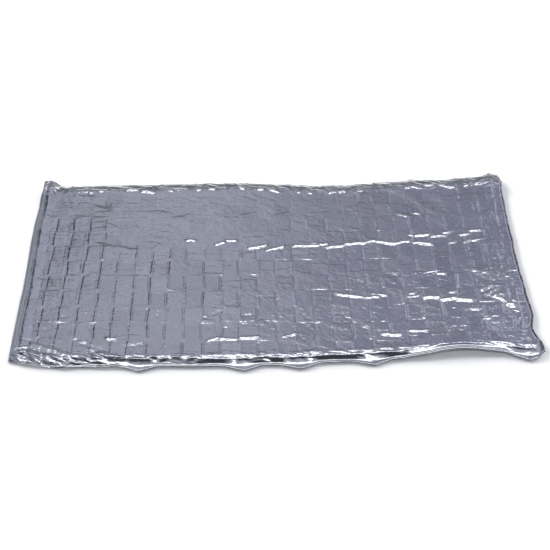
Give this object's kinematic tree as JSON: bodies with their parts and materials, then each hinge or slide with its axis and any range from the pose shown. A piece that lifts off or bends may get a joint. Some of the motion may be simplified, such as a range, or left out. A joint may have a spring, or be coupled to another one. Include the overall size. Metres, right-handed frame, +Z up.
{
  "type": "emergency foil sleeping bag",
  "caption": "Flat unfolded metallised-film emergency sleeping bag with a crease grid, taped along both sides and the foot, open at the head.",
  "frame": {"origin": "centre of the bag's footprint, on the floor it lies on", "axes": "+X along the bag from the foot to the open head end, +Y across it to the back side seam, +Z up"},
  "size_m": [2.1331, 0.9138, 0.026],
  "materials": {
    "upper_film": "crinkled vacuum-metallised polyester film, mirror-like with a cool grey cast",
    "lower_film": "crinkled vacuum-metallised polyester film, mirror-like with a cool grey cast",
    "seam_tape": "metallised polyester tape, slightly brighter than the film"
  },
  "bodies": {
    "head_section": {"lower_film_head": "lower_film", "upper_film_head": "upper_film", "mouth_side_film_front": "upper_film", "mouth_side_film_back": "upper_film", "front_seam_head": "seam_tape", "back_seam_head": "seam_tape"},
    "middle_section": {"lower_film_middle": "lower_film", "upper_film_middle": "upper_film", "front_seam_middle": "seam_tape", "back_seam_middle": "seam_tape"},
    "foot_section": {"lower_film_foot": "lower_film", "upper_film_foot": "upper_film", "front_seam_foot": "seam_tape", "back_seam_foot": "seam_tape", "foot_seam": "seam_tape"},
    "mouth_flap": {"mouth_flap_film": "upper_film"}
  },
  "joints": [
    {"name": "middle_fold", "type": "hinge", "parent": "head_section", "child": "middle_section", "pos_m": [0, 0, 0.0262], "axis": [0, 1, 0], "range_deg": [0, 180]},
    {"name": "foot_fold", "type": "hinge", "parent": "middle_section", "child": "foot_section", "pos_m": [-0.5334, 0, -0.0002], "axis": [0, -1, 0], "range_deg": [0, 180]},
    {"name": "mouth_lift", "type": "hinge", "parent": "head_section", "child": "mouth_flap", "pos_m": [0.6096, 0, 0.026], "axis": [0, -1, 0], "range_deg": [0, 25]}
  ],
  "couplings": [
    {"joint": "foot_fold", "follows": "middle_fold", "ratio": 1}
  ]
}
